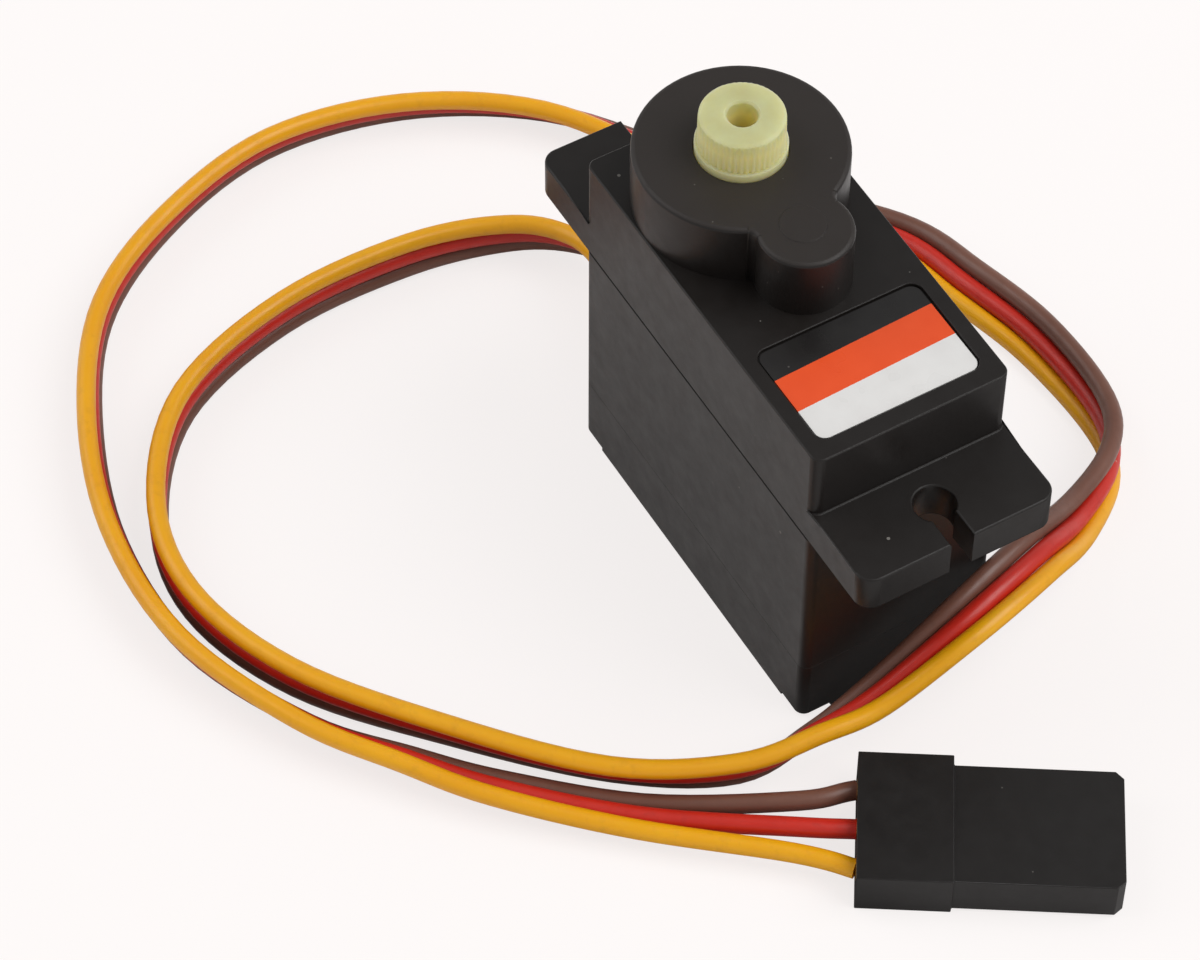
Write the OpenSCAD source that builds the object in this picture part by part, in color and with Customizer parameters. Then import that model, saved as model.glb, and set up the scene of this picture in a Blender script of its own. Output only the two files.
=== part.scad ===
// Sub-micro steering servo: a moulded case in three shells, a motor and a three-mesh gear train that
// drives a splined output shaft, a feedback potentiometer, a control board and a three-wire lead.
// Millimetres. Origin: centre of the underside of the case. +Z is up along the output shaft, +X runs
// along the case towards the labelled motor end, and the output shaft stands at the -X end.

/* [Case] */
// Length of the case without its ears
case_l = 23.7; // [23.5:0.1:26]
// Width of the case and its ears
case_w = 12; // [12:0.1:14]
// Height of the flat top of the case
case_top = 23.2; // [23.2:0.1:24]
// Radius of the upright case corners
corner_r = 0.6; // [0.4:0.1:1.2]
// Thickness of the case walls
wall = 0.9; // [0.8:0.05:0.9]
// Thickness of the roofs over the gears
roof_t = 0.9; // [0.7:0.05:0.9]
// Height of the seam under the ears
ear_z = 16.2; // [15.9:0.1:16.2]
// Height of the seam on the bottom cover
cover_z = 4.6; // [4.4:0.1:5]
// Thickness of the floor of the bottom cover
floor_t = 1; // [0.9:0.1:1.1]
// Thickness of the deck that carries the gears
deck_t = 1.4; // [1.2:0.1:1.6]
// Depth of the relieved corners on the underside
relief_d = 0.25; // [0.2:0.05:0.5]
// Radial step of the locating tabs inside the seams
tab_h = 0.4; // [0.3:0.05:0.5]

/* [Ears] */
// Length over both ears
ear_l = 34; // [33.2:0.1:35]
// Thickness of the ears
ear_t = 2.45; // [2:0.05:2.8]
// Radius of the ear corners
ear_r = 1; // [0.6:0.1:1.5]
// Distance between the two screw holes
hole_gap = 28.5; // [28.4:0.1:28.8]
// Diameter of each screw hole
hole_d = 2.3; // [2:0.1:2.5]
// Width of the slot from each hole to the ear end
slot_w = 1.4; // [1:0.1:1.6]

/* [Gears] */
// Place of the output shaft along X
output_x = -5.7; // [-5.8:0.05:-5.6]
// Tooth module of the three reducing meshes
gear_m = 0.31; // [0.3:0.002:0.31]
// Teeth on each small gear of those meshes
pinion_teeth = 12; // [11:1:12]
// Teeth on each large gear of those meshes
wheel_teeth = 30; // [29:1:30]
// Tooth module of the motor mesh
motor_m = 0.24; // [0.23:0.002:0.24]
// Teeth on the motor pinion
motor_teeth = 10; // [9:1:10]
// Teeth on the gear that the motor drives
first_teeth = 38; // [36:1:38]
// Thinning of each tooth flank for backlash
backlash = 0.02; // [0.01:0.005:0.04]
// Thickness of the three idler wheels
wheel_t = 1.5; // [1.2:0.05:1.5]
// Thickness of the output wheel
out_wheel_t = 2.8; // [2.4:0.1:2.8]
// Gap above and below each wheel
run_gap = 0.4; // [0.3:0.05:0.4]
// Diameter of the steel pin that carries the idlers
pin_d = 1.2; // [1:0.1:1.4]
// Clearance of each turning fit, on the radius
fit = 0.05; // [0.03:0.01:0.08]

/* [Output] */
// Height of the round turret top
turret_top = 27.2; // [27.2:0.1:28]
// Wall of the turret
turret_wall = 0.86; // [0.8:0.02:0.9]
// Gap between the output wheel and the turret
turret_gap = 0.14; // [0.1:0.02:0.16]
// Outer radius of the boss over the idler pin
bump_r = 2.65; // [2.6:0.05:2.8]
// Outer diameter of the output spline
spline_d = 4.76; // [4.6:0.02:4.9]
// Number of teeth on the output spline
spline_teeth = 46; // [40:1:50]
// Depth of the spline teeth
spline_depth = 0.08; // [0.04:0.01:0.12]
// Diameter of the shaft journal in the turret
journal_d = 5.06; // [4.96:0.02:5.3]
// How far the journal stands out of the turret
journal_up = 0.45; // [0.3:0.05:0.6]
// How far the spline stands above the journal
spline_up = 2.15; // [1.8:0.05:2.6]
// Diameter of the hole for the horn screw
screw_bore_d = 1.7; // [1.4:0.1:2]
// Depth of the hole for the horn screw
screw_bore_h = 5; // [4:0.1:6]
// Diameter of the lower stem of the output gear
stem_d = 2; // [1.8:0.1:2]

/* [Drive and electronics] */
// Radius of the motor can
motor_r = 4; // [3.8:0.05:4]
// Wall of the motor can
can_t = 0.35; // [0.3:0.05:0.4]
// Height of the underside of the motor above the board
motor_lift = 0.6; // [0.5:0.05:0.8]
// Diameter of the motor shaft
motor_shaft_d = 0.8; // [0.7:0.05:0.9]
// Radius of the potentiometer
pot_r = 3.6; // [3.4:0.05:3.7]
// Height of the potentiometer
pot_h = 4.2; // [4:0.1:4.5]
// Thickness of the circuit board
board_t = 0.8; // [0.6:0.1:1]
// Height of the board above the floor of the cover
board_lift = 1; // [0.8:0.1:1.2]
// Diameter of the shank of the case screws
screw_d = 1.1; // [1:0.05:1.2]
// Inset of the case screws from the case sides
screw_inset = 1.65; // [1.6:0.05:1.7]

/* [Label] */
// Size of the label along X
label_l = 6.5; // [6:0.1:6.8]
// Size of the label along Y
label_w = 9.9; // [9:0.1:10]
// Distance of the label from the end of the case
label_inset = 1.25; // [1.1:0.05:1.5]
// Depth of the recess under the label
recess_d = 0.25; // [0.2:0.05:0.3]
// Thickness of the label
label_t = 0.12; // [0.1:0.01:0.15]

/* [Lead and plug] */
// Diameter of each of the three wires
wire_d = 1.08; // [1.04:0.01:1.1]
// Spacing of the wires in the flat lead
wire_pitch = 1.12; // [1.12:0.01:1.16]
// Spacing of the contacts in the plug
contact_pitch = 2.54; // [2.5:0.02:2.58]
// Length of the plug
plug_l = 14.4; // [13:0.1:16]
// Width of the rear of the plug
plug_w = 8.2; // [8:0.1:8.6]
// Thickness of the rear of the plug
plug_t = 2.96; // [2.9:0.02:3.2]
// Length of the rear of the plug
plug_rear_l = 5.2; // [4.5:0.1:6]
// Step in from the rear of the plug to its front, on the far side
plug_step = 0.5; // [0.3:0.05:0.5]
// Square passage for each contact
cavity_w = 1.9; // [1.8:0.05:1.95]
// Clearance round each contact in its passage
contact_gap = 0.1; // [0.05:0.01:0.15]

/* [Hidden] */
cut = 0.02;          // how far a cutting solid runs past the face it opens
fine = 64;           // facets of the round shapes that show
small = 32;          // facets of the small round shapes

// Gear geometry
pressure = 25;
tip_share = 0.8;     // height of a tooth above the pitch circle, in modules
root_share = 1.05;   // depth of a tooth below the pitch circle, in modules
axis_gap = gear_m * (pinion_teeth + wheel_teeth) / 2;
motor_gap = motor_m * (motor_teeth + first_teeth) / 2;
idler_x = output_x + axis_gap;
motor_x = idler_x + motor_gap;
wheel_tip = gear_m * (wheel_teeth / 2 + tip_share);
pinion_tip = gear_m * (pinion_teeth / 2 + tip_share);
turret_in = wheel_tip + turret_gap;
turret_r = turret_in + turret_wall;
bump_in = pinion_tip + 0.1;
pin_r = pin_d / 2;
stem_r = stem_d / 2;
journal_r = journal_d / 2;

// Levels of the gear train, each wheel above the one below
first_z = ear_z + run_gap;
second_z = first_z + wheel_t + run_gap;
third_z = second_z + wheel_t + run_gap;
output_z = third_z + wheel_t + run_gap;
output_top = output_z + out_wheel_t;
turret_roof = turret_top - roof_t;
deck_z = ear_z - deck_t;
float_gap = 0.06;    // play between stacked turning pieces
tight = 0.02;        // clearance round a piece that sits in a pocket and doesn't turn
press = 0.01;        // clearance of a piece that is held on its shaft

// Label and its recess
label_x = case_l / 2 - label_inset - label_l / 2;
label_r = 0.6;
label_gap = 0.1;

// Round pad on the roof, left by the mould
gate_pad_r = 1.27;
gate_pad_t = 0.05;
gate_pad_x = output_x + 6.25;

// Seam tabs and the ribs that carry the board
tab_places = [-6.2, 7.2];
tab_l = 3;
tab_reach = 0.6;
rib_x = 4;
rib_w = 0.8;

// Levels inside the bottom cover
board_z = floor_t + board_lift;
board_top = board_z + board_t;
motor_z = board_top + motor_lift;
cap_h = 0.9;         // part of the motor end cap that shows below the can
can_top = deck_z - float_gap;
motor_top = first_z + wheel_t + 0.2;
motor_boss_r = 1.5;
commutator_r = 0.9;
terminal_y = 2.6;
terminal_w = 0.7;
terminal_t = 0.3;
magnet_t = 0.7;
magnet_gap = 2.6;    // opening between the two magnets
core_gap = 0.15;
core_r = motor_r - can_t - magnet_t - 2 * tight - core_gap;
brush_room = 2.2;    // height for the brushes and the commutator
coil_h = 0.5;        // height of the coil ends above and below the core
core_z = motor_z + cap_h + brush_room;
core_h = can_top - can_t - coil_h - 0.7 - core_z;
pot_z = deck_z - float_gap - pot_h;
wiper_t = 0.7;
wiper_z = pot_z + 1.2;
stem_end = wiper_z - 0.3;
pot_wall = 0.7;
pot_pin_r = 0.25;
pot_pin_gap = 1.6;

// Chips on the board: length, width and height
control_size = [3.2, 3.2, 0.7];
control_x = -2.2;
leg_size = [0.5, 0.24, 0.2];
leg_gap = 0.6;
driver_size = [1.7, 1.5, 0.8];
driver_y = 3.3;
capacitor_size = [0.9, 0.6, 0.5];
capacitor_y = 3.4;
capacitor_places = [-3.2, -1.4];

// Case screws
screw_x = case_l / 2 - screw_inset;
screw_y = case_w / 2 - screw_inset;
screw_r = screw_d / 2;
post_r = screw_r + 0.5;
head_r = 1;
head_h = 0.6;
head_z = relief_d + 0.15;
head_room = 0.08;
cover_post_r = head_r + head_room + 0.27;
thread_h = 4.2;
relief_l = 2;
relief_w = 2;

// Lead: centre of the flat lead, its roll and the spacing of its wires at each point
exit_z = 4.3;
grommet_out = 0.6;
grommet_w = 5;
grommet_h = 2.4;
grommet_t = 2.2;
flange_t = 0.5;
tail_r = 0.4;
route = [
    [-case_l / 2 - grommet_out, 0, exit_z, -180, 1],
    [-15.2, 0, exit_z, -168, 1],
    [-19, 0.4, 3.14, -143, 1],
    [-22.7, -0.2, 2.08, -120, 1],
    [-25.4, -3.2, 1.77, -102, 1],
    [-27, -9.2, 1.72, -91, 1],
    [-26.8, -17.7, 1.72, -90, 1],
    [-23.8, -25.7, 1.72, -89, 1],
    [-17.8, -30.5, 1.72, -89, 1],
    [-11.05, -31.8, 1.72, -90, 1],
    [-3.6, -29.35, 1.72, -84, 1],
    [3.75, -23.65, 1.67, -72, 1],
    [10.4, -17.25, 1.64, -65, 1],
    [13.9, -11.3, 1.77, -72, 1],
    [14.5, -6.7, 2.61, -52, 1],
    [14.6, -2.9, 3.59, -24, 1],
    [14.4, 2.9, 6.53, -1, 1],
    [12.7, 8.5, 6.34, 24, 1],
    [9.9, 13.5, 3.33, 52, 1],
    [6.8, 17.8, 2.14, 82, 1],
    [3, 19.5, 1.66, 113, 1],
    [-3.4, 19.5, 1.4, 136, 1],
    [-9.2, 18.3, 1.11, 153, 1],
    [-14, 17.1, 0.75, 172, 1],
    [-19.3, 13.2, 0.86, 193, 1],
    [-25.8, 8.6, 1.25, 216, 1],
    [-32.9, 3.5, 1.5, 233, 1],
    [-37.5, -3.9, 1.59, 242, 1],
    [-38.9, -12.4, 1.65, 249, 1],
    [-36.5, -20.4, 1.69, 256, 1],
    [-32.1, -26.8, 1.72, 267, 1],
    [-25.3, -31, 1.71, 277, 1],
    [-17.3, -33.5, 1.69, 283, 1],
    [-8.8, -33.45, 1.65, 290, 1],
    [-0.85, -30.25, 1.56, 301, 1],
    [4.2, -26.4, 1.4, 315, 1],
    [8.1, -23.05, 1.19, 328, 1],
    [13.5, -17.2, 1.04, 342, 1.03],
    [18.54, -10.42, plug_t / 2, 360, 1.5],
    [20.3, -7.7, plug_t / 2, 360, contact_pitch / wire_pitch],
];
steps = 2;           // rings from one route point to the next
sides = 8;

// Plug
plug_at = route[len(route) - 1];
plug_before = route[len(route) - 2];
plug_yaw = atan2(plug_at[1] - plug_before[1], plug_at[0] - plug_before[0]);
plug_front_t = plug_t - 0.32;
plug_front_w = plug_w - plug_step - 0.2;
front_wall = 0.6;
mouth_w = 0.9;
crimp_l = 3;

// ---- shapes used by several pieces ----

module rounded(l, w, r) {
    square([l - 2 * r, w], center = true);
    square([l, w - 2 * r], center = true);
    for (x = [-1, 1], y = [-1, 1])
        translate([x * (l / 2 - r), y * (w / 2 - r)]) circle(r = r, $fn = small);
}

module slab(l, w, h, r, z = 0) {
    translate([0, 0, z]) linear_extrude(height = h) rounded(l, w, r);
}

module rod(r, z, h, x = 0, y = 0) {
    translate([x, y, z]) cylinder(r = r, h = h, $fn = small);
}

module block(size, at) {
    translate(at) cube(size, center = true);
}

module at_screws() {
    for (x = [-1, 1], y = [-1, 1])
        translate([x * screw_x, y * screw_y, 0]) children();
}

// A disc or tower with a rounded upper edge
module soft_tower(r, z, top, edge) {
    translate([0, 0, z]) rotate_extrude($fn = fine)
        polygon(concat([[0, 0], [r, 0]],
            [for (a = [0:30:90]) [r - edge + edge * cos(a), top - z - edge + edge * sin(a)]],
            [[0, top - z]]));
}

// ---- involute teeth ----

function involute_angle(r, base) = r <= base ? 0 : sqrt(pow(r / base, 2) - 1) * 180 / PI - acos(base / r);

// Half of the angle that a tooth covers at radius r
function half_tooth(r, m, n) = let (pitch_r = m * n / 2, base = pitch_r * cos(pressure))
    90 / n - backlash / pitch_r * 180 / PI
    + involute_angle(pitch_r, base) - involute_angle(max(r, base), base);

function gear_points(m, n) = let (
    pitch_r = m * n / 2,
    base = pitch_r * cos(pressure),
    tip = pitch_r + tip_share * m,
    root = pitch_r - root_share * m,
    start = max(base, root + 0.1 * m),
    rise = [root, start, (start + pitch_r) / 2, pitch_r, (pitch_r + tip) / 2, tip])
    [for (k = [0:n - 1]) each concat(
        [for (r = rise) polar(r, 360 * k / n - half_tooth(r, m, n))],
        [for (i = [5:-1:0]) polar(rise[i], 360 * k / n + half_tooth(rise[i], m, n))])];

function polar(r, a) = [r * cos(a), r * sin(a)];

// A toothed disc with a tooth centred on the angle turn
module teeth(m, n, z, h, turn) {
    translate([0, 0, z]) rotate([0, 0, turn]) linear_extrude(height = h) polygon(gear_points(m, n));
}

// ---- case ----

module keyhole() {
    circle(r = hole_d / 2, $fn = fine);
    translate([0, -slot_w / 2]) square([ear_l, slot_w]);
}

module upper_shell() {
    slab(case_l, case_w, case_top - ear_z, corner_r, ear_z);
    slab(ear_l, case_w, ear_t, ear_r, ear_z);
    translate([output_x, 0, 0]) soft_tower(turret_r, ear_z + 1, turret_top, 0.25);
    translate([idler_x, 0, 0]) soft_tower(bump_r, ear_z + 1, turret_top, 0.25);
    rod(gate_pad_r, turret_top - cut, cut + gate_pad_t, gate_pad_x);
}

module upper_room() {
    difference() {
        slab(case_l - 2 * wall, case_w - 2 * wall, case_top - roof_t - ear_z + cut, corner_r / 2,
            ear_z - cut);
        at_screws() rod(post_r, ear_z - 1, thread_h + 1.6);
    }
    rod(turret_in, output_z - 0.1, turret_roof - output_z + 0.1, output_x);
    rod(bump_in, output_z - 0.1, turret_roof - output_z + 0.1, idler_x);
}

module upper_case() {
    color("#2b2a2a") difference() {
        upper_shell();
        upper_room();
        rod(journal_r + fit, turret_roof - 1, roof_t + 2, output_x);
        rod(pin_r + fit, turret_roof - 1, roof_t - 0.4 + 1, idler_x);
        at_screws() rod(screw_r + tight, ear_z - cut, thread_h);
        for (s = [0, 180]) rotate([0, 0, s]) translate([hole_gap / 2, 0, ear_z - 1])
            linear_extrude(height = ear_t + 2) keyhole();
        translate([label_x, 0, 0])
            slab(label_l + 2 * label_gap, label_w + 2 * label_gap, recess_d + 1, label_r + label_gap,
                case_top - recess_d);
    }
}

module label() {
    color("#e85a2a") translate([label_x, 0, 0]) slab(label_l, label_w, label_t, label_r, case_top - recess_d);
}

// Tabs that stand on a seam and locate the shell above or below it
module seam_tabs(z, h) {
    for (x = tab_places, y = [-1, 1])
        block([tab_l, tab_h, h], [x, y * (case_w / 2 - wall - float_gap / 2 - tab_h / 2), z + h / 2]);
}

// Where the lower tabs grow out of the wall of the middle shell
module tab_roots() {
    for (x = tab_places, y = [-1, 1])
        block([tab_l, tab_h + 0.2, tab_reach],
            [x, y * (case_w / 2 - wall - tab_h / 2), cover_z + tab_reach / 2]);
}

module middle_room() {
    difference() {
        slab(case_l - 2 * wall, case_w - 2 * wall, deck_z - cover_z + cut, corner_r / 2, cover_z - cut);
        at_screws() rod(post_r, cover_z - 1, deck_z - cover_z + 2);
    }
}

module middle_case() {
    color("#2b2a2a") {
        difference() {
            slab(case_l, case_w, ear_z - cover_z, corner_r, cover_z);
            middle_room();
            at_screws() rod(screw_r + head_room, cover_z - 1, ear_z - cover_z + 2);
            rod(stem_r + fit, deck_z - 1, deck_t + 2, output_x);
            rod(pin_r + press, ear_z - 1, 2, idler_x);
            rod(motor_boss_r + fit, deck_z - 1, deck_t + 2, motor_x);
            grommet_slot(tight);
        }
        seam_tabs(ear_z - cut, run_gap / 2 + cut);
        seam_tabs(cover_z - tab_reach, 2 * tab_reach);
        tab_roots();
    }
}

module cover_room() {
    difference() {
        slab(case_l - 2 * wall, case_w - 2 * wall, cover_z - floor_t + cut, corner_r / 2, floor_t);
        at_screws() rod(cover_post_r, 0, cover_z + 1);
        for (x = [-rib_x, rib_x]) block([rib_w, case_w, board_lift], [x, 0, floor_t + board_lift / 2]);
    }
}

module bottom_cover() {
    color("#2b2a2a") difference() {
        slab(case_l, case_w, cover_z, corner_r);
        cover_room();
        at_screws() rod(screw_r + head_room, -1, cover_z + 2);
        at_screws() rod(head_r + head_room, -1, head_z + head_h + 1);
        for (x = [-1, 1], y = [-1, 1])
            block([relief_l, relief_w, 2 * relief_d],
                [x * (case_l - relief_l + cut) / 2, y * (case_w - relief_w + cut) / 2, 0]);
        grommet_slot(tight);
    }
}

module case_screws() {
    color("#8c8c90") at_screws() difference() {
        union() {
            rod(head_r, head_z, head_h);
            rod(screw_r, head_z, ear_z + thread_h - 0.3 - head_z);
        }
        for (a = [0, 90]) rotate([0, 0, a]) block([1.3, 0.28, 0.6], [0, 0, head_z]);
    }
}

// ---- lead exit ----

module grommet_slot(gap) {
    block([2 * wall + 2, grommet_w - 1 + 2 * gap, grommet_h + 2 * gap], [-case_l / 2, 0, exit_z]);
}

module lead_grommet() {
    color("#1d1c1c") difference() {
        union() {
            block([grommet_t, grommet_w - 1, grommet_h],
                [-case_l / 2 - grommet_out + grommet_t / 2, 0, exit_z]);
            block([flange_t, grommet_w, grommet_h + 0.4],
                [-case_l / 2 + wall + 2 * tight + flange_t / 2, 0, exit_z]);
        }
        at_wires() rotate([0, 90, 0]) translate([0, 0, -1])
            cylinder(r = tail_r + tight, h = 2 * grommet_t, $fn = small);
    }
}

module at_wires() {
    for (k = [-1, 0, 1])
        translate([-case_l / 2 - grommet_out, k * wire_pitch, exit_z]) children();
}

module lead_tails() {
    reach = grommet_t + 0.5;
    color("#c98a4a") at_wires() {
        rotate([0, 90, 0]) cylinder(r = tail_r, h = reach, $fn = small);
        translate([reach, 0, 0]) sphere(r = tail_r, $fn = small);
        translate([reach, 0, board_top - exit_z]) cylinder(r = tail_r, h = exit_z - board_top, $fn = small);
    }
}

// ---- motor ----

module motor_can() {
    color("silver") translate([motor_x, 0, 0]) difference() {
        union() {
            rod(motor_r, motor_z + cap_h, can_top - motor_z - cap_h);
            rod(motor_boss_r, can_top - 0.1, deck_t / 2 + 0.1);
        }
        rod(motor_r - can_t, motor_z + cap_h - 1, can_top - can_t - motor_z - cap_h + 1);
        rod(motor_shaft_d / 2 + fit, can_top - 2, deck_t + 4);
    }
}

module motor_end_cap() {
    color("#e8e4d8") translate([motor_x, 0, 0]) difference() {
        union() {
            rod(motor_r, motor_z, cap_h);
            rod(motor_r - can_t - tight, motor_z, cap_h + 0.6);
        }
        rod(motor_shaft_d / 2 + fit, motor_z + 0.3, cap_h + 2);
        rod(commutator_r + 0.3, motor_z + cap_h, 2);
        for (s = [-1, 1])
            block([terminal_w + 0.1, terminal_t + 0.1, 4], [0, s * terminal_y, motor_z]);
    }
}

module motor_terminals() {
    color("#d8b45a") translate([motor_x, 0, 0]) for (s = [-1, 1]) {
        block([terminal_w, terminal_t, motor_z + cap_h + 1 - board_top],
            [0, s * terminal_y, (board_top + motor_z + cap_h + 1) / 2]);
        block([terminal_w, terminal_y - commutator_r - float_gap, 0.25],
            [0, s * (terminal_y + commutator_r + float_gap) / 2, motor_z + cap_h + 0.875]);
    }
}

module motor_magnets() {
    color("#4a4a4e") translate([motor_x, 0, 0]) difference() {
        rod(motor_r - can_t - tight, core_z - 0.6, core_h + 1.2);
        rod(motor_r - can_t - magnet_t - tight, core_z - 1, core_h + 2);
        block([magnet_gap, 4 * motor_r, 4 * core_h], [0, 0, core_z]);
    }
}

module motor_shaft() {
    color("#d0d2d6") rod(motor_shaft_d / 2, motor_z + 0.35, motor_top - motor_z - 0.35, motor_x);
}

module rotor_core() {
    color("#9a9aa0") translate([motor_x, 0, core_z]) difference() {
        linear_extrude(height = core_h) difference() {
            circle(r = core_r, $fn = fine);
            for (k = [0:2]) rotate([0, 0, 120 * k + 60]) {
                translate([core_r * 0.32, -core_r * 0.11]) square([core_r, core_r * 0.22]);
                translate([core_r * 0.6, 0]) circle(r = core_r * 0.23, $fn = small);
            }
        }
        rod(motor_shaft_d / 2 + press, -1, core_h + 2);
    }
}

// One coil end stands over each pole, above and below the core
module rotor_windings() {
    color("#b5652b") translate([motor_x, 0, 0]) for (k = [0:2], z = [core_z - coil_h, core_z + core_h])
        rotate([0, 0, 120 * k]) translate([core_r * 0.58, 0, z]) linear_extrude(height = coil_h)
            rounded(core_r * 0.5, core_r * 0.62, 0.25);
}

module commutator() {
    color("#c77b3c") translate([motor_x, 0, 0]) difference() {
        rod(commutator_r, motor_z + cap_h + 0.5, core_z - 0.1 - motor_z - cap_h - 0.5);
        rod(motor_shaft_d / 2 + press, motor_z, core_z);
        for (k = [0:2]) rotate([0, 0, 120 * k])
            block([0.4, 0.1, 4], [commutator_r, 0, core_z - 1]);
    }
}

module motor_pinion() {
    color("#d9b65c") translate([motor_x, 0, 0]) difference() {
        teeth(motor_m, motor_teeth, first_z - 0.1, wheel_t + 0.2, 180);
        rod(motor_shaft_d / 2 + press, first_z - 1, wheel_t + 3);
    }
}

// ---- gear train ----

module gear_pin() {
    color("#d0d2d6") rod(pin_r, ear_z - 0.99, turret_roof + roof_t - 0.45 - ear_z + 0.99, idler_x);
}

// Wheel, hub below it and small gear above it, all on one bore
module idler(x, bore_r, m, n, wheel_turn, z, foot_z, foot_r, pinion_top, pinion_turn) {
    translate([x, 0, 0]) difference() {
        union() {
            teeth(m, n, z, wheel_t, wheel_turn);
            teeth(gear_m, pinion_teeth, z + wheel_t - cut, pinion_top - z - wheel_t + cut, pinion_turn);
            rod(foot_r, foot_z, z - foot_z + cut);
        }
        rod(bore_r + fit, foot_z - 1, pinion_top - foot_z + 2);
        lightening(m * n / 2, z);
    }
}

// Shallow ring sunk into the top of a wheel, between its rim and its hub
module lightening(pitch_r, z) {
    translate([0, 0, z + wheel_t - 0.3]) difference() {
        cylinder(r = pitch_r - 0.9, h = 0.3 + cut, $fn = fine);
        translate([0, 0, -1]) cylinder(r = pinion_tip + 0.3, h = 3, $fn = fine);
    }
}

module first_gear() {
    color("#efe9d2") idler(idler_x, pin_r, motor_m, first_teeth, 180 / first_teeth, first_z,
        ear_z + float_gap, pin_r + 0.6, second_z + wheel_t, 180);
}

module second_gear() {
    color("#e9e2bf") idler(output_x, stem_r, gear_m, wheel_teeth, 180 / wheel_teeth, second_z,
        ear_z + float_gap, stem_r + 0.45, third_z + wheel_t, 0);
}

module third_gear() {
    color("#efe9d2") idler(idler_x, pin_r, gear_m, wheel_teeth, 180 + 180 / wheel_teeth, third_z,
        second_z + wheel_t + float_gap, pin_r + 0.6, turret_roof - 2 * float_gap, 180);
}

module spline() {
    r = spline_d / 2;
    points = [for (k = [0:spline_teeth - 1]) each [
        for (s = [[-0.38, 1], [-0.16, 0], [0.16, 0], [0.38, 1]])
            polar(r - s[1] * spline_depth, (k + s[0]) * 360 / spline_teeth)]];
    intersection() {
        linear_extrude(height = spline_up + cut) polygon(points);
        soft_tower(r, 0, spline_up, 0.3);
    }
}

module output_gear() {
    journal_top = turret_top + journal_up;
    color("#e6e2ae") translate([output_x, 0, 0]) difference() {
        union() {
            teeth(gear_m, wheel_teeth, output_z, out_wheel_t, 180 / wheel_teeth);
            rod(journal_r + 0.8, output_top - cut, turret_roof - float_gap - output_top + cut);
            translate([0, 0, output_top]) cylinder(r = journal_r, h = journal_top - output_top, $fn = fine);
            translate([0, 0, journal_top - cut]) spline();
            rod(stem_r, stem_end, output_z - stem_end);
            rod(stem_r + 0.6, third_z + wheel_t + float_gap, output_z - third_z - wheel_t - float_gap);
        }
        rod(screw_bore_d / 2, journal_top + spline_up - cut - screw_bore_h, screw_bore_h + 1);
        translate([0, 0, journal_top + spline_up - cut - 0.12])
            cylinder(r1 = screw_bore_d / 2, r2 = screw_bore_d / 2 + 0.12 + cut, h = 0.12 + cut, $fn = small);
    }
}

// ---- potentiometer ----

module pot_body() {
    color("#2f5a3c") translate([output_x, 0, 0]) difference() {
        rod(pot_r, pot_z, pot_h);
        rod(pot_r - pot_wall, pot_z + pot_wall, pot_h);
    }
}

module pot_wiper() {
    color("#c9a24b") translate([output_x, 0, 0]) difference() {
        union() {
            rod(stem_r + 0.6, wiper_z, wiper_t);
            block([pot_r - 0.9, 0.9, wiper_t - 0.3], [(pot_r - 0.9) / 2, 0, wiper_z + wiper_t / 2]);
        }
        rod(stem_r + press, wiper_z - 1, wiper_t + 2);
    }
}

module pot_pins() {
    color("#cfcfd2") for (y = [-1, 0, 1])
        rod(pot_pin_r, board_top, pot_z - board_top, output_x, y * pot_pin_gap);
}

// ---- electronics ----

module circuit_board() {
    room = 0.3;
    color("#1f6b45") difference() {
        block([case_l - 2 * wall - room, case_w - 2 * wall - room, board_t], [0, 0, board_z + board_t / 2]);
        at_screws() rod(cover_post_r + 0.15, board_z - 1, board_t + 2);
        for (x = [-1, 1], y = [-1, 1])
            block([2 * cover_post_r, 2 * cover_post_r, 3 * board_t],
                [x * (screw_x + cover_post_r), y * (screw_y + cover_post_r), board_z]);
    }
}

module control_chip() {
    color("#242428") {
        block(control_size, [control_x, 0, board_top + (leg_size[2] + control_size[2]) / 2]);
        for (y = [-2:2], s = [-1, 1])
            block(leg_size, [control_x + s * (control_size[0] + leg_size[0] - 0.3) / 2, y * leg_gap,
                board_top + leg_size[2] / 2]);
    }
}

module drive_chips() {
    color("#2a2a2e") for (y = [-1, 1])
        block(driver_size, [output_x - 0.2, y * driver_y, board_top + driver_size[2] / 2]);
}

module board_capacitors() {
    color("#b59a6a") for (y = [-1, 1], x = capacitor_places)
        block(capacitor_size, [x, y * capacitor_y, board_top + capacitor_size[2] / 2]);
}

// ---- lead ----

// A smooth curve through the route's points
function blend(a, b, c, d, t) = (2 * b + (c - a) * t + (2 * a - 5 * b + 4 * c - d) * t * t
    + (3 * b - a - 3 * c + d) * t * t * t) / 2;
last = len(route) - 1;
ends = concat([2 * route[0] - route[1]], route, [2 * route[last] - route[last - 1]]);
lead_line = concat([for (i = [1:last], k = [0:steps - 1])
    blend(ends[i - 1], ends[i], ends[i + 1], ends[i + 2], k / steps)], [route[last]]);
function xyz(p) = [p[0], p[1], p[2]];
function unit(v) = v / norm(v);
rings = len(lead_line);
function heading(i) = i == 0 ? unit(xyz(route[1] - route[0]))
    : i == rings - 1 ? unit(xyz(route[last] - route[last - 1]))
    : unit(xyz(lead_line[i + 1] - lead_line[i - 1]));

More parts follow.
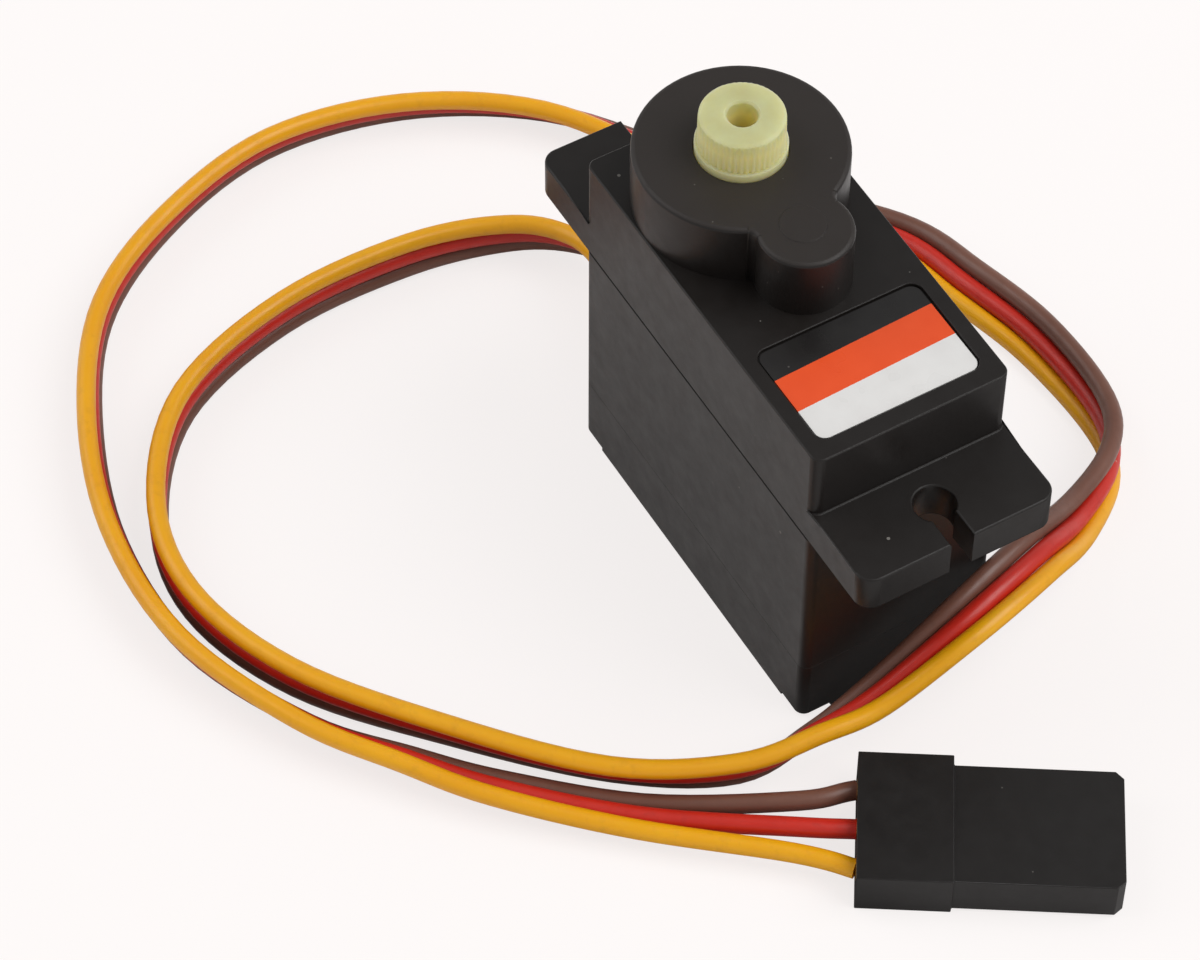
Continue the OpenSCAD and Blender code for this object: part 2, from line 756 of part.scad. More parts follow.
// Direction from the yellow wire to the brown one at ring i
function across(i) = let (h = heading(i), side = unit([-h[1], h[0], 0]), up = cross(h, side),
    roll = lead_line[i][3]) cos(roll) * side + sin(roll) * up;
function wire_centre(i, k) = xyz(lead_line[i]) + k * wire_pitch * lead_line[i][4] * across(i);
function wire_ring(i, k) = let (u = across(i), v = cross(heading(i), u), c = wire_centre(i, k),
    r = wire_d / 2) [for (s = [0:sides - 1]) let (a = (s + 0.5) * 360 / sides)
        c + r * cos(a) * u + r * sin(a) * v];

// One wire: k is -1 for yellow, 0 for red and 1 for brown
module wire(k) {
    points = [for (i = [0:rings - 1]) each wire_ring(i, k)];
    walls = [for (i = [0:rings - 2], s = [0:sides - 1]) let (a = i * sides + s,
        b = i * sides + (s + 1) % sides) each [[a, a + sides, b], [b, a + sides, b + sides]]];
    near_end = [for (s = [1:sides - 2]) [0, s, s + 1]];
    z = (rings - 1) * sides;
    far_end = [for (s = [1:sides - 2]) [z, z + s + 1, z + s]];
    polyhedron(points = points, faces = concat(walls, near_end, far_end));
}

module lead_yellow() { color("#eaa21c") wire(-1); }
module lead_red() { color("#c9281a") wire(0); }
module lead_brown() { color("#6b4436") wire(1); }

// Length of the lead and the least gap between stretches of it that lie apart
lead_length = sum([for (i = [1:rings - 1]) norm(wire_centre(i, 0) - wire_centre(i - 1, 0))]);
function sum(v, i = 0) = i == len(v) ? 0 : v[i] + sum(v, i + 1);
skip = 10;
lead_gap = min([for (i = [0:rings - 1 - skip], j = [i + skip:rings - 1], a = [-1:1], b = [-1:1])
    norm(wire_centre(i, a) - wire_centre(j, b))]) - wire_d;
echo(lead_length = lead_length, lead_gap = lead_gap);

// ---- plug ----

module in_plug() {
    translate([plug_at[0], plug_at[1], 0]) rotate([0, 0, plug_yaw]) children();
}

module plug_housing() {
    front_l = plug_l - plug_rear_l;
    color("#232222") in_plug() difference() {
        union() {
            block([plug_rear_l, plug_w, plug_t], [plug_rear_l / 2, 0, plug_t / 2]);
            translate([plug_rear_l - cut, -plug_step / 2 + 0.05, (plug_t - plug_front_t) / 2])
                linear_extrude(height = plug_front_t) plug_front(front_l + cut);
        }
        for (k = [-1, 0, 1]) {
            block([2 * (plug_l - front_wall), cavity_w, cavity_w], [0, k * contact_pitch, plug_t / 2]);
            block([4 * plug_l, mouth_w, mouth_w], [0, k * contact_pitch, plug_t / 2]);
            block([2.2, 1.2, plug_t], [plug_rear_l + 2.2, k * contact_pitch, 0]);
        }
    }
}

// Outline of the slimmer front of the plug, with its two end corners cut off
module plug_front(l) {
    w = plug_front_w / 2;
    c = 0.45;
    polygon([[0, -w], [l - c, -w], [l, -w + c], [l, w - c], [l - c, w], [0, w]]);
}

module plug_contacts() {
    outer = cavity_w - 2 * contact_gap;
    box_l = plug_l - front_wall - 0.1 - crimp_l;
    color("#d9b65c") in_plug() for (k = [-1, 0, 1]) translate([0, k * contact_pitch, plug_t / 2]) {
        rotate([0, 90, 0]) cylinder(r = wire_d / 2 + 0.1, h = crimp_l, $fn = small);
        difference() {
            block([box_l, outer, outer], [crimp_l + box_l / 2, 0, 0]);
            block([2 * box_l - 2, outer - 0.5, outer - 0.5], [crimp_l + box_l + 0, 0, 0]);
        }
    }
}

upper_case();
middle_case();
bottom_cover();
case_screws();
label();
lead_grommet();
motor_can();
motor_end_cap();
motor_magnets();
motor_terminals();
motor_shaft();
rotor_core();
rotor_windings();
commutator();
motor_pinion();
gear_pin();
first_gear();
second_gear();
third_gear();
output_gear();
pot_body();
pot_wiper();
pot_pins();
circuit_board();
control_chip();
drive_chips();
board_capacitors();
lead_tails();
lead_yellow();
lead_red();
lead_brown();
plug_housing();
plug_contacts();
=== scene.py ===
"""Looks of the servo motor: camera, lead, materials, small moulded details, floor and light.

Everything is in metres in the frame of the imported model. Lengths that repeat the source are in
millimetres and times MM.
"""

import math

import bmesh
import bpy
from mathutils import Matrix, Vector


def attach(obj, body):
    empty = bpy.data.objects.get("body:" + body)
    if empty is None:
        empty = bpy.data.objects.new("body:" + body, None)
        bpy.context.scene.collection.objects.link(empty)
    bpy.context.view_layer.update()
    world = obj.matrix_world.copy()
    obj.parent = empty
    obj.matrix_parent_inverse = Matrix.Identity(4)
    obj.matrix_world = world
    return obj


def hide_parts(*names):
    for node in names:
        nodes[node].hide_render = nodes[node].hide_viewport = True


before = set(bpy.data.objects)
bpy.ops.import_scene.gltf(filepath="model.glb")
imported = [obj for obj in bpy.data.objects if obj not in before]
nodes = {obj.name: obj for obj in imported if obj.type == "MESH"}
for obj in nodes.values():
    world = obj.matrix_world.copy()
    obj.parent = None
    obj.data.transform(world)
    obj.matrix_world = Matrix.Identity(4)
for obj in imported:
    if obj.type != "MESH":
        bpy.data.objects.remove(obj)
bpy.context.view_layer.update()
MM = 0.001


def srgb(r, g, b):
    """A linear colour with alpha from three values of 0 to 255."""
    def one(v):
        v /= 255
        return v / 12.92 if v <= 0.04045 else ((v + 0.055) / 1.055) ** 2.4
    return (one(r), one(g), one(b), 1.0)


def collect(obj):
    bpy.context.scene.collection.objects.link(obj)
    return obj


# ---- sizes and levels that repeat the source, in millimetres ----

HALF_L, HALF_W, CORNER = 11.85, 6.0, 0.6
EAR_Z, EAR_TOP, EAR_HALF = 16.2, 18.65, 17.0
HOLE_X, HOLE_R, SLOT_HALF = 14.25, 1.15, 0.7
SCREW_X = 10.2
DECK, TURRET_TOP = 23.2, 27.2
TURRET_X, TURRET_R = -5.7, 5.898
BUMP_X, BUMP_R = 0.81, 2.65
RECESS_X, RECESS_HALF = 7.35, 3.35
SPLINE_FOOT, SPLINE_TOP = 27.65, 29.78

# ---- camera ----

AZIMUTH = math.radians(59.508)
ELEVATION = math.radians(52.740)
ROLL = math.radians(-0.349)
CAMERA_AT = Vector((135.889, -91.940, 219.603)) * MM

back = Vector((math.sin(AZIMUTH) * math.cos(ELEVATION),
               -math.cos(AZIMUTH) * math.cos(ELEVATION), math.sin(ELEVATION)))
level = Vector((0, 0, 1)).cross(back).normalized()
upright = back.cross(level)
right = math.cos(ROLL) * level - math.sin(ROLL) * upright
top = math.sin(ROLL) * level + math.cos(ROLL) * upright
camera_data = bpy.data.cameras.new("camera")
camera_data.sensor_width = 36
camera_data.lens = 144.41
camera_data.clip_start = 0.01
camera = collect(bpy.data.objects.new("camera", camera_data))
turned = Matrix((right, top, back)).transposed().to_4x4()
camera.matrix_world = Matrix.Translation(CAMERA_AT) @ turned
bpy.context.scene.camera = camera

# ---- lead: the route of the source, with the roll and the spread of its three wires ----

WIRE_D = 1.12
WIRE_PITCH = 1.12
CONTACT_PITCH = 2.54
ROUTE = [
    (-12.45, 0, 4.3, -180, 1),
    (-15.2, 0, 4.3, -168, 1),
    (-19, 0.4, 3.14, -143, 1),
    (-22.7, -0.2, 2.08, -120, 1),
    (-25.4, -3.2, 1.77, -102, 1),
    (-27, -9.2, 1.72, -91, 1),
    (-26.8, -17.7, 1.72, -90, 1),
    (-23.8, -25.7, 1.72, -89, 1),
    (-17.8, -30.5, 1.72, -89, 1),
    (-11.05, -31.8, 1.72, -90, 1),
    (-3.6, -29.35, 1.72, -84, 1),
    (3.75, -23.65, 1.67, -72, 1),
    (10.4, -17.25, 1.64, -65, 1),
    (13.9, -11.3, 1.77, -72, 1),
    (14.5, -6.7, 2.61, -52, 1),
    (14.6, -2.9, 3.59, -24, 1),
    (14.4, 2.9, 6.53, -1, 1),
    (12.7, 8.5, 6.34, 24, 1),
    (9.9, 13.5, 3.33, 52, 1),
    (6.8, 17.8, 2.14, 82, 1),
    (3, 19.5, 1.66, 113, 1),
    (-3.4, 19.5, 1.4, 136, 1),
    (-9.2, 18.3, 1.11, 153, 1),
    (-14, 17.1, 0.75, 172, 1),
    (-19.3, 13.2, 0.86, 193, 1),
    (-25.8, 8.6, 1.25, 216, 1),
    (-32.9, 3.5, 1.5, 233, 1),
    (-37.5, -3.9, 1.59, 242, 1),
    (-38.9, -12.4, 1.65, 249, 1),
    (-36.5, -20.4, 1.69, 256, 1),
    (-32.1, -26.8, 1.72, 267, 1),
    (-25.3, -31, 1.71, 277, 1),
    (-17.3, -33.5, 1.69, 283, 1),
    (-8.8, -33.45, 1.65, 290, 1),
    (-0.85, -30.25, 1.56, 301, 1),
    (4.2, -26.4, 1.4, 315, 1),
    (8.1, -23.05, 1.19, 328, 1),
    (13.5, -17.2, 1.04, 342, 1.03),
    (18.54, -10.42, 1.48, 360, 1.5),
    (20.3, -7.7, 1.48, 360, CONTACT_PITCH / WIRE_PITCH),
]
FINE = 7


def blend(a, b, c, d, t):
    """A point of the smooth curve through four rows, at share t of the way from b to c."""
    return [(2 * q + (r - p) * t + (2 * p - 5 * q + 4 * r - s) * t * t
             + (3 * q - p - 3 * r + s) * t * t * t) / 2 for p, q, r, s in zip(a, b, c, d)]


def lead_line():
    """Every row of the route with FINE - 1 rows between each two."""
    first = [2 * p - q for p, q in zip(ROUTE[0], ROUTE[1])]
    end = [2 * p - q for p, q in zip(ROUTE[-1], ROUTE[-2])]
    rows = [first] + [list(p) for p in ROUTE] + [end]
    line = []
    for i in range(1, len(ROUTE)):
        line += [blend(*rows[i - 1:i + 3], k / FINE) for k in range(FINE)]
    return line + [list(ROUTE[-1])]


LINE = lead_line()


def wire_points(k):
    """Centre line of one wire in metres: k is -1 for yellow, 0 for red and 1 for brown."""
    points = []
    last = len(LINE) - 1
    for i, p in enumerate(LINE):
        ahead = Vector(LINE[min(i + 1, last)][:3]) - Vector(LINE[max(i - 1, 0)][:3])
        if i == 0:
            ahead = Vector(ROUTE[1][:3]) - Vector(ROUTE[0][:3])
        if i == last:
            ahead = Vector(ROUTE[-1][:3]) - Vector(ROUTE[-2][:3])
        ahead.normalize()
        side = Vector((-ahead.y, ahead.x, 0)).normalized()
        over = ahead.cross(side)
        roll = math.radians(p[3])
        across = math.cos(roll) * side + math.sin(roll) * over
        points.append((Vector(p[:3]) + k * WIRE_PITCH * p[4] * across) * MM)
    return points


# ---- materials ----

def add(tree, kind, inputs=None, **props):
    """A new node; an input is a value or another node's output."""
    node = tree.nodes.new(kind)
    for key, value in props.items():
        setattr(node, key, value)
    for key, value in (inputs or {}).items():
        socket = node.inputs[key]
        if isinstance(value, bpy.types.NodeSocket):
            tree.links.new(value, socket)
        else:
            socket.default_value = value
    return node


def start(name, **values):
    """A new material with its shader's plain values set: returns the material, tree and shader."""
    material = bpy.data.materials.new(name)
    material.use_nodes = True
    tree = material.node_tree
    shader = tree.nodes["Principled BSDF"]
    for key, value in values.items():
        shader.inputs[key.replace("_", " ")].default_value = value
    return material, tree, shader


def place(tree):
    return add(tree, "ShaderNodeTexCoord").outputs["Object"]


def noise(tree, at, scale, detail=2.0, rough=0.5, stretch=None):
    if stretch:
        at = add(tree, "ShaderNodeMapping", {"Vector": at, "Scale": stretch}).outputs["Vector"]
    return add(tree, "ShaderNodeTexNoise", {"Vector": at, "Scale": scale, "Detail": detail,
                                            "Roughness": rough}).outputs["Fac"]


def span(tree, value, low, high, out_low, out_high):
    return add(tree, "ShaderNodeMapRange", {"Value": value, "From Min": low, "From Max": high,
                                            "To Min": out_low,
                                            "To Max": out_high}).outputs["Result"]


def calc(tree, operation, a, b=0.0):
    node = add(tree, "ShaderNodeMath", {0: a, 1: b}, operation=operation)
    return node.outputs["Value"]


def mix(tree, share, a, b):
    node = add(tree, "ShaderNodeMix", {0: share, 6: a, 7: b}, data_type="RGBA")
    return node.outputs[2]


def bump(tree, height, distance, strength=1.0, below=None):
    inputs = {"Height": height, "Distance": distance, "Strength": strength}
    if below:
        inputs["Normal"] = below
    return add(tree, "ShaderNodeBump", inputs).outputs["Normal"]


def specks(tree, at, scale, size, share):
    """Small scattered specks: 1 in a speck and 0 elsewhere."""
    cell = add(tree, "ShaderNodeTexVoronoi", {"Vector": at, "Scale": scale, "Randomness": 1.0})
    near = calc(tree, "LESS_THAN", cell.outputs["Distance"], size)
    pick = add(tree, "ShaderNodeSeparateColor", {"Color": cell.outputs["Color"]}).outputs["Red"]
    return calc(tree, "MULTIPLY", near, calc(tree, "LESS_THAN", pick, share))


def scaled(color, factor):
    return tuple(min(1.0, c * factor) for c in color[:3]) + (1.0,)


def roughen(tree, shader, value, least, most):
    """Roughness from least to most as a noise value goes through the range that it mostly has."""
    tree.links.new(span(tree, value, 0.3, 0.7, least, most), shader.inputs["Roughness"])


SEAM_HALF = 0.1 * MM


def moulded(name, color, rough, grain=5e-6, dust=0.2, gloss=0.5, scale=9000, satin=None, seam=None):
    """Moulded plastic: spark-eroded grain, faint flow marks, uneven sheen and a little dust.

    satin is a height and a factor: above that height the tone is lighter and the grain duller.
    seam is a height: within SEAM_HALF of it the surface is dark and dull, painted shade as in the
    gap between two shells.
    """
    material, tree, shader = start(name, IOR=1.5, Specular_IOR_Level=gloss)
    at = place(tree)
    flow = noise(tree, at, 260, 3, 0.6)
    cloud = noise(tree, at, 900, 4, 0.6)
    tone = mix(tree, flow, scaled(color, 0.88), scaled(color, 1.14))
    up = add(tree, "ShaderNodeSeparateXYZ", {"Vector": at}).outputs["Z"]
    if satin:
        high = calc(tree, "GREATER_THAN", up, satin[0])
        tone = mix(tree, high, tone, scaled(color, satin[1]))
    dots = specks(tree, at, 480, 0.045, dust)
    fluff = specks(tree, at, 1500, 0.07, dust * 0.35)
    marks = calc(tree, "MAXIMUM", dots, calc(tree, "MULTIPLY", fluff, 0.5))
    tone = mix(tree, calc(tree, "MULTIPLY", marks, 0.55), tone, srgb(150, 146, 140))
    sheen = span(tree, cloud, 0.3, 0.7, rough - 0.04, rough + 0.05)
    if satin:
        sheen = calc(tree, "ADD", sheen, calc(tree, "MULTIPLY", high, 0.12))
    if seam:
        # Painted shade: a dark band along the seam, where the two shells meet.
        away = calc(tree, "ABSOLUTE", calc(tree, "SUBTRACT", up, seam))
        seam_shade_band = calc(tree, "LESS_THAN", away, SEAM_HALF)
        tone = mix(tree, calc(tree, "MULTIPLY", seam_shade_band, 0.7), tone, (0.0, 0.0, 0.0, 1.0))
        sheen = calc(tree, "ADD", sheen, calc(tree, "MULTIPLY", seam_shade_band, 0.45))
    tree.links.new(tone, shader.inputs["Base Color"])
    tree.links.new(calc(tree, "ADD", sheen, calc(tree, "MULTIPLY", marks, 0.3)),
                   shader.inputs["Roughness"])
    texture = noise(tree, at, scale, 2, 0.55)
    normal = bump(tree, texture, grain, 0.6)
    normal = bump(tree, flow, 5e-6, 0.1, normal)
    tree.links.new(normal, shader.inputs["Normal"])
    return material


def metal(name, color, rough, stretch=None, scale=2500, tarnish=None):
    """Metal with drawn or turned lines, cloudy polish and a darker tone in its low places."""
    material, tree, shader = start(name, Metallic=1.0)
    at = place(tree)
    lines = noise(tree, at, scale, 3, 0.6, stretch or (1, 1, 12))
    cloud = noise(tree, at, 700, 3, 0.6)
    tone = mix(tree, cloud, scaled(color, 0.8), color)
    if tarnish:
        tone = mix(tree, span(tree, cloud, 0.55, 0.8, 0, 0.6), tone, tarnish)
    tree.links.new(tone, shader.inputs["Base Color"])
    roughen(tree, shader, lines, rough - 0.07, rough + 0.1)
    tree.links.new(bump(tree, lines, 3e-6, 0.5), shader.inputs["Normal"])
    return material


SIDE_FADE = 0.8 * MM


def nylon(name, color, deep, rough, depth, side=None):
    """Natural nylon: light enters it, so thin places glow and thick ones are warmer.

    side is a height and a colour: the surface turns to this colour within SIDE_FADE below it,
    painted light that sets the side apart from the top.
    """
    material, tree, shader = start(name, IOR=1.53, Subsurface_Weight=1.0, Subsurface_Scale=depth,
                                   Subsurface_Radius=(1.0, 0.85, 0.45), Specular_IOR_Level=0.35)
    at = place(tree)
    cloud = noise(tree, at, 800, 3, 0.5)
    tone = mix(tree, span(tree, cloud, 0.3, 0.7, 0, 1), color, deep)
    if side:
        up = add(tree, "ShaderNodeSeparateXYZ", {"Vector": at}).outputs["Z"]
        # Painted light: below the height the side gets its own colour, unlike the top.
        tone = mix(tree, span(tree, up, side[0] - SIDE_FADE, side[0], 1.0, 0.0), tone, side[1])
    tree.links.new(tone, shader.inputs["Base Color"])
    fine = noise(tree, at, 5000, 2, 0.5)
    roughen(tree, shader, fine, rough - 0.06, rough + 0.08)
    tree.links.new(bump(tree, fine, 6e-6, 0.4), shader.inputs["Normal"])
    return material


def insulation(name, color, worn, rough):
    """Soft extruded insulation: faint draw lines, small dents, dust and handling marks."""
    material, tree, shader = start(name, IOR=1.52, Specular_IOR_Level=0.45, Subsurface_Weight=0.12,
                                   Subsurface_Scale=0.0005, Subsurface_Radius=(1.0, 0.5, 0.25))
    at = place(tree)
    broad = noise(tree, at, 140, 3, 0.55)
    small = noise(tree, at, 1400, 3, 0.6)
    tone = mix(tree, span(tree, broad, 0.3, 0.7, 0, 1), color, worn)
    tone = mix(tree, span(tree, small, 0.55, 0.75, 0, 0.3), tone, scaled(color, 0.75))
    dots = specks(tree, at, 700, 0.06, 0.12)
    tone = mix(tree, calc(tree, "MULTIPLY", dots, 0.4), tone, srgb(200, 190, 175))
    tree.links.new(tone, shader.inputs["Base Color"])
    roughen(tree, shader, small, rough - 0.06, rough + 0.08)
    normal = bump(tree, small, 2.5e-5, 0.35)
    normal = bump(tree, noise(tree, at, 8000, 2, 0.5), 4e-6, 0.4, normal)
    tree.links.new(normal, shader.inputs["Normal"])
    return material


LABEL_TILT = 0.034                    # the print lies a little askew
ORANGE_FROM, WHITE_FROM = 5.86, 8.2   # places along X, in millimetres


def label_print():
    """A printed film with three plain bands across it: dark, orange and white."""
    material, tree, shader = start("label_film", IOR=1.5, Roughness=0.3)
    at = place(tree)
    apart = add(tree, "ShaderNodeSeparateXYZ", {"Vector": at})
    askew = calc(tree, "MULTIPLY", apart.outputs["Y"], LABEL_TILT)
    along = calc(tree, "ADD", apart.outputs["X"], askew)
    wobble = calc(tree, "MULTIPLY", calc(tree, "SUBTRACT", noise(tree, at, 6000, 2), 0.5), 3e-5)
    along = calc(tree, "ADD", along, wobble)
    dark = mix(tree, noise(tree, at, 900, 3), srgb(26, 24, 24), srgb(36, 34, 33))
    orange = mix(tree, noise(tree, at, 700, 3), srgb(226, 76, 30), srgb(236, 86, 38))
    light = mix(tree, noise(tree, at, 700, 3), srgb(218, 216, 214), srgb(230, 229, 227))
    tone = mix(tree, calc(tree, "GREATER_THAN", along, ORANGE_FROM * MM), dark, orange)
    tone = mix(tree, calc(tree, "GREATER_THAN", along, WHITE_FROM * MM), tone, light)
    dots = specks(tree, at, 900, 0.05, 0.12)
    tone = mix(tree, calc(tree, "MULTIPLY", dots, 0.35), tone, srgb(120, 115, 110))
    tree.links.new(tone, shader.inputs["Base Color"])
    film = noise(tree, at, 350, 2, 0.5)
    roughen(tree, shader, film, 0.24, 0.36)
    tree.links.new(bump(tree, film, 3e-5, 0.3), shader.inputs["Normal"])
    return material


def board_mask():
    """Solder mask with the faint relief of the copper tracks below it."""
    material, tree, shader = start("board_mask", IOR=1.5, Coat_Weight=0.3)
    at = place(tree)
    tracks = add(tree, "ShaderNodeTexVoronoi", {"Vector": at, "Scale": 900.0, "Randomness": 0.4},
                 distance="MANHATTAN").outputs["Distance"]
    wide = span(tree, tracks, 0.32, 0.4, 0, 1)
    tone = mix(tree, wide, srgb(28, 104, 62), srgb(16, 72, 44))
    tone = mix(tree, noise(tree, at, 500, 3), tone, srgb(24, 90, 56))
    tree.links.new(tone, shader.inputs["Base Color"])
    roughen(tree, shader, noise(tree, at, 2000, 2), 0.3, 0.42)
    tree.links.new(bump(tree, wide, 3e-5, 0.5), shader.inputs["Normal"])
    return material


def windings():
    """Enamelled copper wire wound in turns 0.12 mm apart."""
    material, tree, shader = start("coil_wire", Metallic=0.85)
    at = place(tree)
    turns = add(tree, "ShaderNodeTexWave", {"Vector": at, "Scale": 2600.0, "Distortion": 0.6,
                                            "Detail": 1.0}, wave_type="BANDS", bands_direction="Z")
    height = turns.outputs["Fac"]
    # Painted shade: the copper is darker in the grooves between the turns.
    tone = mix(tree, height, srgb(120, 54, 24), srgb(206, 118, 62))
    tree.links.new(tone, shader.inputs["Base Color"])
    tree.links.new(span(tree, height, 0, 1, 0.45, 0.22), shader.inputs["Roughness"])
    tree.links.new(bump(tree, height, 4e-5, 0.9), shader.inputs["Normal"])
    return material


BLACK = srgb(25, 21, 19)
# The case gets a band of painted shade along the seam between its shells.
case_black = moulded("case_black", BLACK, 0.38, dust=0.3, gloss=0.4, seam=EAR_Z * MM,
                     satin=((TURRET_TOP - 0.1) * MM, 2.1))
plug_black = moulded("plug_black", srgb(25, 22, 21), 0.4, dust=0.12, gloss=0.4, scale=7000)
grommet_black = moulded("grommet_black", srgb(24, 23, 23), 0.55, grain=6e-6, dust=0.3, gloss=0.35)
chip_black = moulded("chip_black", srgb(36, 36, 40), 0.5, grain=8e-6, dust=0.1, scale=6000)
cap_plastic = moulded("cap_plastic", srgb(214, 208, 190), 0.4, grain=4e-6, dust=0.05)
pot_green = moulded("pot_green", srgb(52, 96, 70), 0.42, grain=5e-6, dust=0.05)
ceramic = moulded("ceramic_body", srgb(176, 150, 110), 0.5, grain=6e-6, dust=0.02, scale=12000)
magnet_grey = moulded("magnet_grey", srgb(86, 84, 86), 0.5, grain=9e-6, dust=0.05, scale=7000)
# Painted light: the spline's side is painted lighter than its top.
spline_nylon = nylon("spline_nylon", srgb(194, 196, 152), srgb(188, 186, 138), 0.5, 0.0026,
                     side=((SPLINE_TOP - 0.18) * MM, srgb(228, 220, 158)))
gear_nylon = nylon("gear_nylon", srgb(236, 230, 208), srgb(226, 216, 184), 0.36, 0.0009)
steel = metal("ground_steel", srgb(206, 207, 210), 0.2)
lamination = metal("core_laminations", srgb(150, 150, 156), 0.36, stretch=(1, 1, 30), scale=3000)
screw_steel = metal("screw_steel", srgb(132, 130, 130), 0.32, stretch=(6, 6, 6))
can_metal = metal("plated_can", srgb(198, 198, 200), 0.24, stretch=(10, 10, 1))
brass = metal("plain_brass", srgb(206, 168, 92), 0.26, tarnish=srgb(150, 110, 60))
copper = metal("tinned_copper", srgb(196, 128, 84), 0.34, stretch=(14, 1, 1),
               tarnish=srgb(170, 150, 130))
yellow_skin = insulation("yellow_skin", srgb(233, 161, 4), srgb(239, 172, 12), 0.36)
red_skin = insulation("red_skin", srgb(190, 34, 22), srgb(204, 44, 30), 0.36)
brown_skin = insulation("brown_skin", srgb(104, 66, 52), srgb(120, 80, 66), 0.38)
print_film = label_print()
mask = board_mask()
coils = windings()

FINISH = {
    "upper_case": case_black, "middle_case": case_black, "bottom_cover": case_black,
    "case_screws": screw_steel, "label": print_film, "lead_grommet": grommet_black,
    "motor_can": can_metal, "motor_end_cap": cap_plastic, "motor_magnets": magnet_grey,
    "motor_terminals": brass, "motor_shaft": steel, "rotor_core": lamination,
    "rotor_windings": coils, "commutator": copper, "motor_pinion": brass, "gear_pin": steel,
    "first_gear": gear_nylon, "second_gear": gear_nylon, "third_gear": gear_nylon,
    "output_gear": spline_nylon, "pot_body": pot_green, "pot_wiper": brass, "pot_pins": can_metal,
    "circuit_board": mask, "control_chip": chip_black, "drive_chips": chip_black,
    "board_capacitors": ceramic, "lead_tails": copper, "plug_housing": plug_black,
    "plug_contacts": brass,
}
for name, material in FINISH.items():
    mesh = nodes[name].data
    mesh.materials.clear()
    mesh.materials.append(material)


WELD = 1e-6                       # metres
FLAT_ANGLE = math.radians(0.5)    # faces that bend less are joined
EDGE_ANGLE = math.radians(32)     # edges that bend more are rounded
EDGE_STEPS = 3


def even_shading(obj, keep_sharp):
    """Lets the large faces set the normals; keep_sharp leaves the edges that are marked sharp."""
    shade = obj.modifiers.new("shade", "WEIGHTED_NORMAL")
    shade.keep_sharp = keep_sharp


def soften(name, width):
    """Rounds the edges of a rigid node and evens its shading; its own mesh isn't touched."""
    obj = nodes[name]
    weld = obj.modifiers.new("weld", "WELD")
    weld.merge_threshold = WELD
    flat = obj.modifiers.new("flat", "DECIMATE")
    flat.decimate_type = "DISSOLVE"
    flat.angle_limit = FLAT_ANGLE
    bevel = obj.modifiers.new("edge", "BEVEL")
    bevel.width = width * MM
    bevel.segments = EDGE_STEPS
    bevel.limit_method = "ANGLE"
    bevel.angle_limit = EDGE_ANGLE
    bevel.use_clamp_overlap = True
    even_shading(obj, False)


for name, width in (("middle_case", 0.03), ("bottom_cover", 0.03), ("plug_housing", 0.12),
                    ("lead_grommet", 0.12)):
    soften(name, width)

# ---- upper shell and output gear: copies of the nodes with the softer edges of a moulding ----

FULL_EDGE = 0.3
TOP_SHARE, DECK_SHARE, RECESS_SHARE = 0.1, 0.3, 0.2
EAR_SHARE, HOLE_SHARE, SEAM_SHARE = 0.36, 0.4, 0.25
ON_LEVEL = 0.02      # how near a level an edge counts as on it
ON_WALL = 0.03       # the same for the flat outer walls
ON_ARC = 0.04        # the same for the upright corners, whose edges are chords
NEAR_RECESS = 0.1    # how far past the recess its edges are looked for
NEAR_HOLE = 0.2      # the same for the keyholes
EAR_ROOT = HALF_L - 0.7      # the top edges of the ears lie past this
EAR_END = EAR_HALF - 0.05    # past this an edge belongs to the end of an ear
CUTS = (-SCREW_X, TURRET_X, BUMP_X, RECESS_X, SCREW_X)
SMOOTH_ANGLE = math.radians(35)
SPLINE_MID = 2.35    # radius that the spline teeth shrink towards
TOOTH_SHARE = 0.4    # share of their depth that is left


def edge_share(x, y, z):
    """Share of FULL_EDGE that an edge of the upper shell is rounded by; 0 on its hidden inside."""
    out_x, out_y = abs(x), abs(y)
    past_x, past_y = out_x - (HALF_L - CORNER), out_y - (HALF_W - CORNER)
    if past_x > 0 and past_y > 0:
        on_wall = math.hypot(past_x, past_y) > CORNER - ON_ARC
    else:
        on_wall = max(past_x, past_y) > CORNER - ON_WALL
    if z > TURRET_TOP - ON_LEVEL:
        return TOP_SHARE
    if z > DECK + ON_LEVEL:
        return 0.0
    if z > DECK - ON_LEVEL:
        if on_wall:
            return DECK_SHARE
        return RECESS_SHARE if abs(x - RECESS_X) < RECESS_HALF + NEAR_RECESS else 0.0
    if out_x > EAR_ROOT and abs(z - EAR_TOP) < ON_LEVEL:
        round_part = math.hypot(out_x - HOLE_X, y) < HOLE_R + NEAR_HOLE
        slot_part = out_x > HOLE_X and out_y < SLOT_HALF + NEAR_HOLE
        return HOLE_SHARE if (round_part or slot_part) and out_x < EAR_END else EAR_SHARE
    if abs(z - EAR_Z) < ON_LEVEL and (on_wall or out_x > HALF_L):
        return SEAM_SHARE
    return 0.0


def copied(node, name):
    """A copy of a node's mesh under a new name, and its welded bmesh."""
    mesh = nodes[node].data.copy()
    mesh.name = name
    build = bmesh.new()
    build.from_mesh(mesh)
    bmesh.ops.remove_doubles(build, verts=build.verts, dist=WELD)
    return mesh, build


def finished(mesh, build, material):
    """An object of the changed mesh, with one material."""
    build.to_mesh(mesh)
    build.free()
    mesh.materials.clear()
    mesh.materials.append(material)
    return collect(bpy.data.objects.new(mesh.name, mesh))


